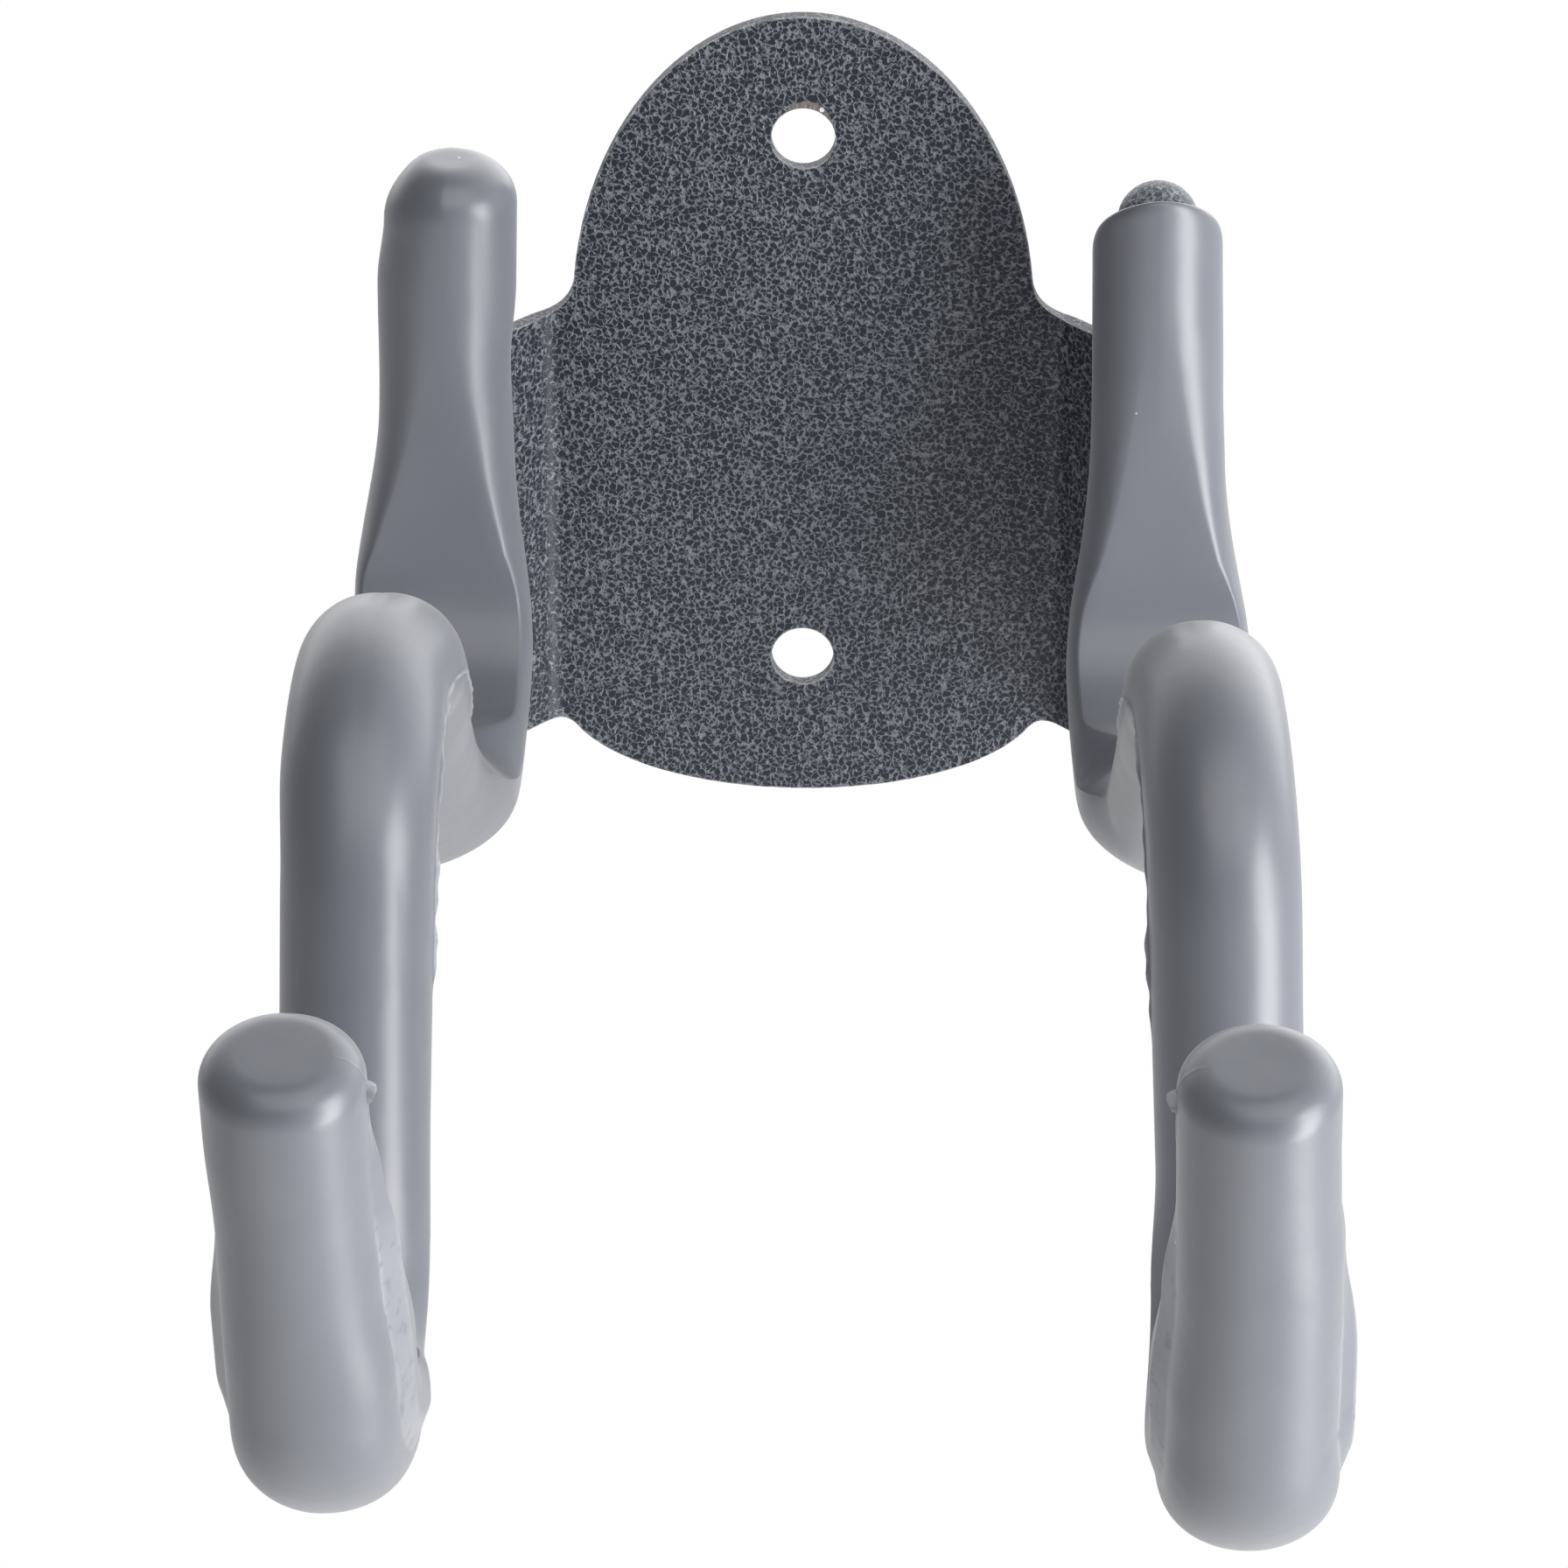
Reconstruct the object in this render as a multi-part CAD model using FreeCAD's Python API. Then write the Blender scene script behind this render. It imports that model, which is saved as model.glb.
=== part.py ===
import FreeCAD, Part
import math
import os
from FreeCAD import Rotation, Vector

# Wall-mounted double-arm hook, in millimetres.
# X runs to the right, Y into the wall and Z up. The wall face lies on Y = 0.
# The origin is on the wall face, midway between the two screw holes.

# Driving dimensions of the wall bracket
sheet_thickness = 2.0
screw_hole_diameter = 8.0
screw_hole_spacing = 71.2
flat_half_width = 30.6
bend_inner_radius = 3.0
flange_top = 11.7
flange_bottom = -44.6
top_lobe_half_width = 29.0
top_lobe_centre = 11.5
top_lobe_rise = 40.0
top_notch_radius = 5.0
bottom_lobe_half_width = 30.8
bottom_lobe_centre = -41.5
bottom_lobe_drop = 13.2
bottom_notch_radius = 2.6

# Driving dimensions of the two rods
rod_diameter = 10.0
rod_half_spacing = 43.95
rod_standoff = 14.6
rod_top = 35.0
rear_bend_radius = 24.0
hump_bend_radius = 20.0
front_bend_radius = 16.0
rear_bend_turn = 130.3
hump_bend_turn = 118.0
front_bend_turn = 154.6

# The rods are bent by hand tools, so the two arms differ a little.
# The lean is the rear leg's slope inward to its top, in degrees.
# Twists are turns of the bending plane about the straight run before a bend, in degrees.
# The front lips are the overhangs of the front saddle, on the arm's outer and inner side.
LEFT = {
    "side": -1,
    "lean": 1.6,
    "splay": 1.15,
    "rear_bend_height": -11.4,
    "rise": 60.6,
    "fall": 39.2,
    "front_leg": 38.4,
    "hump_twist": 0.3,
    "front_twist": 3.2,
    "front_lips": (1.6, 2.4),
    "rear_end_closed": True,
}
RIGHT = {
    "side": 1,
    "lean": 1.1,
    "splay": 1.4,
    "rear_bend_height": -12.3,
    "rise": 54.2,
    "fall": 41.0,
    "front_leg": 42.6,
    "hump_twist": -1.3,
    "front_twist": -1.0,
    "front_lips": (2.4, 2.4),
    "rear_end_closed": False,
}

# Driving dimensions of the welds
weld_root_gap = 0.15
weld_leg = 2.9
weld_wrap_angle = 50.0
weld_end_margin = 1.5

# Driving dimensions of the soft sleeves
sleeve_wall = 3.3
front_cap_wall = 3.7
front_cap_rounding = 3.8
closed_end_wall = 2.6
closed_end_rounding = 5.5
open_rim_setback = 1.1
open_rim_slant = 42.0
open_rim_rounding = 1.2
saddle_wall = 3.6
saddle_lip = 2.5
saddle_lip_height = 2.6
saddle_flat_margin = 2.2
underside_lip = 1.2
underside_height = -0.8

# Where the round sleeve changes into a saddle and back, as parts of a straight run or turns of a bend
rear_leg_lead = 0.34
rear_shape_at_bend = 0.55
rear_bend_lead = 30.0
rise_lead = 0.45
front_bend_lead = 80.0
front_leg_lead = 0.85

# The turn from one section to the next where a saddle forms in a bend
station_turn = 10.0

# Clearances
moulding_clearance = 0.05

# Points nearer than this count as one
same_place = 0.001

# Derived sizes
rod_radius = rod_diameter / 2
sleeve_radius = rod_radius + sleeve_wall
saddle_height = rod_radius + saddle_wall
UP = Vector(0, 0, 1)


def weld_frame(side):
    """The rod's axis, the way the flange runs to it, and the flange's start and length, seen from above."""
    middle_radius = bend_inner_radius + sheet_thickness / 2
    bend_centre = Vector(flat_half_width, -(sheet_thickness + bend_inner_radius), 0)
    rod_axis = Vector(rod_half_spacing, -rod_standoff, 0)
    reach = rod_axis - bend_centre
    angle = math.atan2(-reach.y, reach.x) + math.asin(middle_radius / reach.Length)
    tangent_length = math.sqrt(reach.Length ** 2 - middle_radius ** 2)
    along = Vector(side * math.cos(angle), -math.sin(angle), 0)
    outward = Vector(side * math.sin(angle), math.cos(angle), 0)
    axis = Vector(side * rod_half_spacing, -rod_standoff, 0)
    length = tangent_length - rod_radius - weld_root_gap
    return {"axis": axis, "along": along, "outward": outward, "angle": angle, "length": length}


def lean_offset(arm, height):
    """How far the leaning rear leg's axis lies from where it passes the flange's top corner."""
    slope = math.tan(math.radians(arm["lean"]))
    return Vector(arm["side"] * (flange_top - height) * slope, 0, 0)


def folded_half(side):
    """One half of the folded sheet's section, as edges from the back face round to the front face."""
    frame = weld_frame(side)
    centre = Vector(side * flat_half_width, -(sheet_thickness + bend_inner_radius), 0)
    outer_radius = bend_inner_radius + sheet_thickness
    half_way = frame["angle"] / 2
    halfway_out = Vector(side * math.sin(half_way), math.cos(half_way), 0)
    back_start = centre + Vector(0, outer_radius, 0)
    back_end = centre + frame["outward"] * outer_radius
    front_end = centre + frame["outward"] * bend_inner_radius
    front_start = centre + Vector(0, bend_inner_radius, 0)
    run = frame["along"] * frame["length"]
    return [
        Part.makeLine(Vector(0, 0, 0), back_start),
        Part.Arc(back_start, centre + halfway_out * outer_radius, back_end).toShape(),
        Part.makeLine(back_end, back_end + run),
        Part.makeLine(back_end + run, front_end + run),
        Part.makeLine(front_end + run, front_end),
        Part.Arc(front_end, centre + halfway_out * bend_inner_radius, front_start).toShape(),
        Part.makeLine(front_start, Vector(0, -sheet_thickness, 0)),
    ]


def ellipse_prism(half_width, half_height, centre_height, depth):
    """An upright ellipse, drawn out from the wall."""
    long_side = max(half_width, half_height)
    short_side = min(half_width, half_height)
    ellipse = Part.Ellipse(Vector(0, 0, 0), long_side, short_side)
    face = Part.Face(Part.Wire(ellipse.toShape()))
    if half_height > half_width:
        face.rotate(Vector(0, 0, 0), Vector(0, 0, 1), 90)
    face.rotate(Vector(0, 0, 0), Vector(1, 0, 0), 90)
    face.translate(Vector(0, 0, centre_height))
    return face.extrude(Vector(0, -depth, 0))


def bracket_outline(depth):
    """The outline as seen from the front: two lobes and the band of the flanges, with rounded notches."""
    band_half_width = rod_half_spacing + rod_radius
    band = Part.makeBox(2 * band_half_width, depth, flange_top - flange_bottom)
    band.translate(Vector(-band_half_width, -depth, flange_bottom))
    top_lobe = ellipse_prism(top_lobe_half_width, top_lobe_rise, top_lobe_centre, depth)
    bottom_lobe = ellipse_prism(bottom_lobe_half_width, bottom_lobe_drop, bottom_lobe_centre, depth)
    outline = band.fuse([top_lobe, bottom_lobe]).removeSplitter()
    outline = outline.makeFillet(top_notch_radius, notch_edges(outline, flange_top))
    return outline.makeFillet(bottom_notch_radius, notch_edges(outline, flange_bottom))


def notch_edges(outline, height):
    """The inner corners where a lobe leaves the band at this height."""
    chosen = []
    for edge in outline.Edges:
        points = [vertex.Point for vertex in edge.Vertexes]
        if len(points) != 2:
            continue
        level = all(abs(point.z - height) < same_place for point in points)
        across = abs(points[0].y - points[1].y) > 1
        inside = all(abs(point.x) < rod_half_spacing for point in points)
        if level and across and inside:
            chosen.append(edge)
    return chosen


def make_bracket():
    """The folded sheet, with its two screw holes."""
    profile = Part.Wire(Part.__sortEdges__(folded_half(1) + folded_half(-1)))
    lowest = bottom_lobe_centre - bottom_lobe_drop
    highest = top_lobe_centre + top_lobe_rise
    margin = sheet_thickness
    sheet = Part.Face(profile).extrude(UP * (highest - lowest + 2 * margin))
    sheet.translate(UP * (lowest - margin))
    bracket = sheet.common(bracket_outline(rod_standoff + rod_radius))
    for height in (-screw_hole_spacing / 2, screw_hole_spacing / 2):
        drill = Part.makeCylinder(screw_hole_diameter / 2, 3 * sheet_thickness,
                                  Vector(0, sheet_thickness, height), Vector(0, -1, 0))
        bracket = bracket.cut(drill)
    return bracket.removeSplitter()


def lay_path(arm):
    """The rod's centre line as a list of straight runs and bends, from its rear end to its front end."""
    side = arm["side"]
    lean = math.radians(arm["lean"])
    splay = math.radians(arm["splay"])
    top = rod_top - rod_radius
    position = Vector(side * rod_half_spacing, -rod_standoff, top) + lean_offset(arm, top)
    direction = Vector(side * math.sin(lean), 0, -math.cos(lean))
    forward = Vector(side * math.sin(splay), -math.cos(splay), 0)
    inside = (forward - direction * forward.dot(direction)).normalize()
    rear_leg = (top - arm["rear_bend_height"]) / math.cos(lean)
    steps = [
        ("rear_leg", rear_leg, None),
        ("rear_bend", rear_bend_radius, (rear_bend_turn, 1, 0)),
        ("rise", arm["rise"], None),
        ("hump", hump_bend_radius, (hump_bend_turn, -1, arm["hump_twist"])),
        ("fall", arm["fall"], None),
        ("front_bend", front_bend_radius, (front_bend_turn, 1, arm["front_twist"])),
        ("front_leg", arm["front_leg"], None),
    ]
    runs = {}
    for name, size, bend in steps:
        run = {"position": position, "direction": direction, "inside": inside}
        if bend is None:
            run["length"] = size
            position = position + direction * size
        else:
            turn, sense, twist = bend
            inside = Rotation(direction, -side * twist).multVec(inside)
            toward = inside * sense
            centre = position + toward * size
            axis = direction.cross(toward)
            run.update(inside=inside, centre=centre, axis=axis, turn=turn)
            end = partway(run, turn)
            position, direction, inside = end["position"], end["direction"], end["inside"]
        runs[name] = run
    runs["end"] = {"position": position, "direction": direction, "inside": inside}
    return runs


def partway(run, turned):
    """The same bend, met after this turn."""
    swing = Rotation(run["axis"], turned)
    met = dict(run)
    met["position"] = run["centre"] + swing.multVec(run["position"] - run["centre"])
    met["direction"] = swing.multVec(run["direction"])
    met["inside"] = swing.multVec(run["inside"])
    return met


def across(profile, run, ahead=0.0):
    """A profile laid across a run, this far ahead of its start, with its Y to the inside of the hooks."""
    side_axis = run["inside"].cross(run["direction"])
    placed = profile.copy()
    turn = Rotation(side_axis, run["inside"], run["direction"], "ZXY")
    placed.Placement = FreeCAD.Placement(run["position"] + run["direction"] * ahead, turn)
    return placed


# Angles at which the sleeve's round section is split, so that each arc becomes one side of the saddle
section_corners = [5, 78, 102, 175, 185, 355, 365]


def saddle_sides(lips):
    """The sides of the saddle, each by its start, middle and end: flat above, round shoulders and underside."""
    reach = [sleeve_radius + lip for lip in lips]
    flat = [value - saddle_flat_margin for value in reach]
    under = [sleeve_radius + min(lip, underside_lip) for lip in lips]
    shoulder = math.sin(math.pi / 4)
    corner_y = saddle_lip_height + (saddle_height - saddle_lip_height) * shoulder
    corner = [value + saddle_flat_margin * shoulder for value in flat]
    lip_y, side_y = saddle_lip_height, (saddle_lip_height + underside_height) / 2
    left, right = 0, 1
    side = [(value + other) / 2 for value, other in zip(reach, under)]
    return [
        [(reach[right], lip_y), (corner[right], corner_y), (flat[right], saddle_height)],
        [(flat[right], saddle_height), (0, saddle_height), (-flat[left], saddle_height)],
        [(-flat[left], saddle_height), (-corner[left], corner_y), (-reach[left], lip_y)],
        [(-reach[left], lip_y), (-side[left], side_y), (-under[left], underside_height)],
        [(-under[left], underside_height), (0, -sleeve_radius), (under[right], underside_height)],
        [(under[right], underside_height), (side[right], side_y), (reach[right], lip_y)],
    ]


def section(shape, lips):
    """The sleeve's section, from round at a shape of 0 to a hook's saddle at 1."""
    edges = []
    for first, last, side in zip(section_corners, section_corners[1:], saddle_sides(lips)):
        points = []
        for angle, (x, y) in zip((first, (first + last) / 2, last), side):
            turn = math.radians(angle)
            on_circle = Vector(math.cos(turn), math.sin(turn), 0) * sleeve_radius
            points.append(on_circle * (1 - shape) + Vector(x, y, 0) * shape)
        start, middle, end = points
        straight = middle.distanceToLine(start, end - start) < same_place
        edges.append(Part.makeLine(start, end) if straight else Part.Arc(start, middle, end).toShape())
    return Part.Wire(edges)


def straight_solid(wire, run, start, length):
    """A section drawn along part of a straight run."""
    return Part.Face(across(wire, run, start)).extrude(run["direction"] * length)


def bent_solid(wire, run, turned, turn):
    """A section turned round part of a bend."""
    return Part.Face(across(wire, partway(run, turned))).revolve(run["centre"], run["axis"], turn)


def widening_solid(first, last, run, start, length):
    """A section that changes into another one along part of a straight run."""
    ends = [across(first, run, start), across(last, run, start + length)]
    return Part.makeLoft(ends, True, True)


def forming_solid(first, last, lips, run, turn):
    """The first part of a bend, along which the section changes from one shape into another."""
    stations = round(turn / station_turn)
    wires = []
    for i in range(stations + 1):
        part = i / stations
        wires.append(across(section(first + (last - first) * part, lips), partway(run, turn * part)))
    return Part.makeLoft(wires, True, True)


def join(pieces):
    """Pieces that meet face to face, as one solid."""
    whole = pieces[0].fuse(pieces[1:]).removeSplitter()
    return whole.Solids[0] if len(whole.Solids) == 1 else whole


def round_bar(runs, radius):
    """A bar of one radius along the whole centre line, with a ball at each end."""
    wire = Part.Wire(Part.makeCircle(radius))
    pieces = []
    for name, run in runs.items():
        if name == "end":
            continue
        if "turn" in run:
            pieces.append(bent_solid(wire, run, 0, run["turn"]))
        else:
            pieces.append(straight_solid(wire, run, 0, run["length"]))
    for name in ("rear_leg", "end"):
        pieces.append(Part.makeSphere(radius, runs[name]["position"]))
    return join(pieces)


def rounded_end(run, start, length, rounding):
    """A short round bar whose far rim is rounded."""
    tip = run["position"] + run["direction"] * (start + length)
    bar = Part.makeCylinder(sleeve_radius, length, run["position"] + run["direction"] * start,
                            run["direction"])
    rim = []
    for edge in bar.Edges:
        on_rim = abs(edge.CenterOfMass.distanceToPoint(tip)) < same_place
        if on_rim and isinstance(edge.Curve, Part.Circle):
            rim.append(edge)
    return bar.makeFillet(rounding, rim)


def flipped(run):
    """The same place, looking back along the run."""
    return {"position": run["position"], "direction": run["direction"] * -1, "inside": run["inside"]}


def slanted_end(run, below):
    """A sleeve's open rear end, from this far down the rod, cut so that its front stands higher."""
    slant = math.radians(open_rim_slant)
    tallest = sleeve_radius * math.tan(slant)
    foot = run["position"] + run["direction"] * below
    bar = Part.makeCylinder(sleeve_radius, below + tallest, foot, run["direction"] * -1)
    middle = run["position"] + run["direction"] * open_rim_setback
    outward = run["direction"] * -math.cos(slant) - run["inside"] * math.sin(slant)
    bar = bar.cut(Part.makeCylinder(4 * sleeve_radius, 4 * sleeve_radius, middle, outward))
    rim = [edge for edge in bar.Edges
           if all(abs((point - middle).dot(outward)) < same_place for point in edge.discretize(5))]
    return bar.makeFillet(open_rim_rounding, rim)


def sleeve_body(arm, runs):
    """The outside of one sleeve, solid."""
    rear_lips = (saddle_lip, saddle_lip)
    outer_lip, inner_lip = arm["front_lips"]
    front_lips = (outer_lip, inner_lip) if arm["side"] < 0 else (inner_lip, outer_lip)
    plain = section(0, rear_lips)
    rear_saddle = section(1, rear_lips)
    front_saddle = section(1, front_lips)
    rear_leg, rise, front_leg = runs["rear_leg"], runs["rise"], runs["front_leg"]
    rear_lead = rear_leg["length"] * rear_leg_lead
    rear_forming = section(rear_shape_at_bend, rear_lips)
    rise_fading = rise["length"] * rise_lead
    front_fading = front_leg["length"] * front_leg_lead
    collar = 0.0
    if arm["rear_end_closed"]:
        end = rounded_end(flipped(rear_leg), 0, rod_radius + closed_end_wall, closed_end_rounding)
    else:
        collar = 2 * sleeve_radius
        end = slanted_end(rear_leg, collar)
    pieces = [
        end,
        straight_solid(plain, rear_leg, collar, rear_leg["length"] - rear_lead - collar),
        widening_solid(plain, rear_forming, rear_leg, rear_leg["length"] - rear_lead, rear_lead),
        forming_solid(rear_shape_at_bend, 1, rear_lips, runs["rear_bend"], rear_bend_lead),
        bent_solid(rear_saddle, runs["rear_bend"], rear_bend_lead, rear_bend_turn - rear_bend_lead),
        widening_solid(rear_saddle, plain, rise, 0, rise_fading),
        straight_solid(plain, rise, rise_fading, rise["length"] - rise_fading),
        bent_solid(plain, runs["hump"], 0, hump_bend_turn),
        straight_solid(plain, runs["fall"], 0, runs["fall"]["length"]),
        forming_solid(0, 1, front_lips, runs["front_bend"], front_bend_lead),
        bent_solid(front_saddle, runs["front_bend"], front_bend_lead, front_bend_turn - front_bend_lead),
        widening_solid(front_saddle, plain, front_leg, 0, front_fading),
        straight_solid(plain, front_leg, front_fading, front_leg["length"] - front_fading),
        rounded_end(runs["end"], 0, rod_radius + front_cap_wall, front_cap_rounding),
    ]
    return join(pieces)


def flange_points(frame, offsets):
    """Points given along and out from the flange's middle, measured from the rod's axis."""
    return [frame["axis"] + frame["along"] * along + frame["outward"] * out for along, out in offsets]


def upright_prism(points, bottom, top):
    """A closed outline in plan, drawn up from one height to another."""
    raised = [point + UP * bottom for point in points]
    return Part.Face(Part.makePolygon(raised + raised[:1])).extrude(UP * (top - bottom))


def bead_solid(arm, margin):
    """The weld's outline in plan, drawn up beside the leaning rod and grown by this margin."""
    frame = weld_frame(arm["side"])
    wrap = math.radians(weld_wrap_angle)
    slot = sheet_thickness / 2 + margin
    root = rod_radius + weld_root_gap + weld_leg + margin
    rod_along, rod_out = -rod_radius * math.cos(wrap), rod_radius * math.sin(wrap) + margin
    on_flange = flange_points(frame, [(-root, -slot), (-root, slot)])
    on_rod = flange_points(frame, [(rod_along, rod_out), (0, 0), (rod_along, -rod_out)])
    outlines = []
    for height in (arm["rear_bend_height"] + weld_end_margin - margin,
                   flange_top - weld_end_margin + margin):
        points = on_flange + [point + lean_offset(arm, height) for point in on_rod]
        points = [point + UP * height for point in points]
        outlines.append(Part.makePolygon(points + points[:1]))
    return Part.makeLoft(outlines, True, True)


def make_weld(arm, rod, bracket):
    """The weld between the flange's edge and the rod: a fillet on each side of the sheet, joined at the root."""
    return bead_solid(arm, 0).cut([rod, bracket]).Solids[0]


def weld_pocket(arm):
    """The room that the flange's edge and its weld take out of the sleeve."""
    frame = weld_frame(arm["side"])
    gap = moulding_clearance
    slot = sheet_thickness / 2 + gap
    beyond = 2 * (sleeve_radius + saddle_lip)
    edge = rod_radius + weld_root_gap - gap
    slit = upright_prism(
        flange_points(frame, [(-beyond, slot), (-edge, slot), (-edge, -slot), (-beyond, -slot)]),
        flange_bottom - gap, flange_top + gap)
    return [slit, bead_solid(arm, 2 * gap)]


def make_arm(arm, bracket):
    """One rod with its weld and its sleeve."""
    runs = lay_path(arm)
    rod = round_bar(runs, rod_radius)
    bore = round_bar(runs, rod_radius + moulding_clearance)
    sleeve = sleeve_body(arm, runs).cut([bore] + weld_pocket(arm))
    return rod, make_weld(arm, rod, bracket), sleeve


os.makedirs("parts", exist_ok=True)
wall_bracket = make_bracket()
wall_bracket.exportStep("parts/wall_bracket.step")
for label, arm in (("left", LEFT), ("right", RIGHT)):
    rod, weld, sleeve = make_arm(arm, wall_bracket)
    for name, shape in (("rod", rod), ("weld_bead", weld), ("sleeve", sleeve)):
        shape.exportStep("parts/" + label + "_" + name + ".step")
        print(label, name, "solids", len(shape.Solids), "valid", shape.isValid(),
              "volume", round(shape.Volume, 1))
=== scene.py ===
import math

import bpy
import numpy as np
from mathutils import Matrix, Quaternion, Vector


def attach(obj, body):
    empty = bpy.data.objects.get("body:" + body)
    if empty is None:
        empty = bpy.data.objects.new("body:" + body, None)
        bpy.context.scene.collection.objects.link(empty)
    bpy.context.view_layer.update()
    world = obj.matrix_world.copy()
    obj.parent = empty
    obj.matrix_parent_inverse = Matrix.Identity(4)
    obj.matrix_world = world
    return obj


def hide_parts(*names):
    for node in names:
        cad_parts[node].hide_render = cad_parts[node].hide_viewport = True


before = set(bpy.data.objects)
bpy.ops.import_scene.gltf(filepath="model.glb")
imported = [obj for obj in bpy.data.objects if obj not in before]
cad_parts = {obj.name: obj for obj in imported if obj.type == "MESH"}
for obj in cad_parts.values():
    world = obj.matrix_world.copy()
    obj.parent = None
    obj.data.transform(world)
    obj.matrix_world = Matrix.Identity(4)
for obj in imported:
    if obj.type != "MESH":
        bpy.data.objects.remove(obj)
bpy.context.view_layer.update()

MM = 0.001

# The photograph's view, in metres, in degrees and in the photograph's own pixels
IMAGE_SIZE = 1792
FOCAL_PIXELS = 7285
SENSOR_WIDTH = 36.0
CAMERA_PLACE = (0.00924, -0.74202, 0.32265)
CAMERA_PITCH = 26.98
CAMERA_YAW = 0.90

# The light: how bright the room is on its dim side, on its bright side and behind the object, how
# much of that the near half keeps, where the lamps point, and the floor
ROOM_DIM = 0.12
ROOM_BRIGHT = 1.8
BACK_BRIGHT = 1.8
NEAR_SHARE = 0.3
LIGHT_AIM = (0, -0.08, -0.01)
FLOOR_HALF_SIZE = 6.0
FLOOR_LEVEL = -0.6

# The rods, as in the CAD model. A bend is the radius of its centre line and its turn in degrees.
ROD_RADIUS = 5.0 * MM
ROD_HALF_SPACING = 43.95 * MM
ROD_STANDOFF = 14.6 * MM
ROD_TOP = 35.0 * MM
LEAN_PIVOT = 11.7 * MM
REAR_BEND = (24.0 * MM, 130.3)
HUMP_BEND = (20.0 * MM, 118.0)
FRONT_BEND = (16.0 * MM, 154.6)

# Each arm's shape. Its angles are in degrees, and its front leg is a little longer than the CAD
# model's. The lists are places along the arm, each a run, a part of it and a value in millimetres.
# Facet is the share of the saddle's flat that has formed. Lips are overhangs, on the arm's outer
# and inner side, and a tuck is the share of one that the underside takes up. Outer and inner flank
# are added to the sleeve's radius on that side. Parting is how far the moulding's parting line
# stands out on the arm's inner side.
LEFT = {
    "side": -1, "lean": 1.6, "splay": 1.15, "rear_bend_height": -11.4 * MM, "rise": 60.6 * MM,
    "fall": 39.2 * MM, "front_leg": 39.8 * MM, "hump_twist": 0.3, "front_twist": 3.2,
    "closed": True,
    "facet": [
        ("rear_leg", 0.15, 0), ("rear_bend", 0.15, 1), ("rear_bend", 0.6, 1),
        ("rear_bend", 0.98, 0), ("front_bend", 0.1, 0), ("front_bend", 0.5, 1),
        ("front_leg", 0.1, 1), ("front_leg", 0.95, 0)],
    "outer_lip": [
        ("rear_leg", 0.6, 0), ("rear_bend", 0.15, 2.7), ("rear_bend", 0.8, 3.0), ("rise", 0.3, 0),
        ("front_bend", 0.5, 0), ("front_bend", 1, 2.1), ("front_leg", 0.2, 2.1),
        ("front_leg", 0.6, 0.6), ("front_leg", 0.85, 0)],
    "inner_lip": [
        ("rear_leg", 0.6, 0), ("rear_bend", 0.35, 3.3), ("rear_bend", 0.8, 3.2), ("rise", 0.3, 0),
        ("fall", 0.6, 0), ("front_bend", 0.25, 0.5), ("front_bend", 0.55, 2.5),
        ("front_leg", 0.1, 2.6), ("front_leg", 0.5, 2.0), ("front_leg", 0.8, 0.8),
        ("front_leg", 0.98, 0)],
    "outer_flank": [
        ("rear_leg", -0.16, -1.9), ("rear_leg", 0.0, -0.5), ("rear_leg", 0.2, 0.3),
        ("rear_leg", 0.55, 0), ("rise", 0.95, 0), ("hump", 0.12, 0.5), ("hump", 0.3, 0.55),
        ("hump", 0.65, 0.65), ("hump", 0.95, 0.1), ("fall", 0.5, 0), ("fall", 0.8, 0.3),
        ("front_bend", 0.3, 0), ("front_leg", 0.6, 0), ("front_leg", 0.95, 0.5)],
    "inner_flank": [
        ("rear_leg", 0, 0.2), ("rear_leg", 0.2, 0.2), ("rear_leg", 0.45, -0.4),
        ("rear_leg", 0.7, 0), ("rise", 0.55, 0), ("rise", 0.9, 1.1), ("hump", 0.15, 1.1),
        ("hump", 0.4, 0)],
    "outer_tuck": [
        ("rear_leg", 0.5, 0.4), ("rear_bend", 0.3, 0.9), ("fall", 0.5, 0.9),
        ("front_bend", 0.35, 0.6), ("front_bend", 0.75, 0.35), ("front_leg", 0.0, 0.1)],
    "inner_tuck": [
        ("rear_leg", 0.5, 0.4), ("rear_bend", 0.3, 0.9), ("fall", 0.5, 0.9),
        ("front_bend", 0.4, 0.55), ("front_bend", 0.8, 0.55), ("front_leg", 0.1, 0.5),
        ("front_leg", 0.45, 0.15), ("front_leg", 0.7, 0)],
    "parting": [
        ("rise", 0.3, 0), ("rise", 0.7, 0.15), ("hump", 0.2, 0.35), ("hump", 0.75, 0.35),
        ("fall", 0.12, 0.45), ("fall", 0.3, 0), ("front_leg", 0.85, 0), ("front_leg", 0.97, 0.1)],
}
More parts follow.
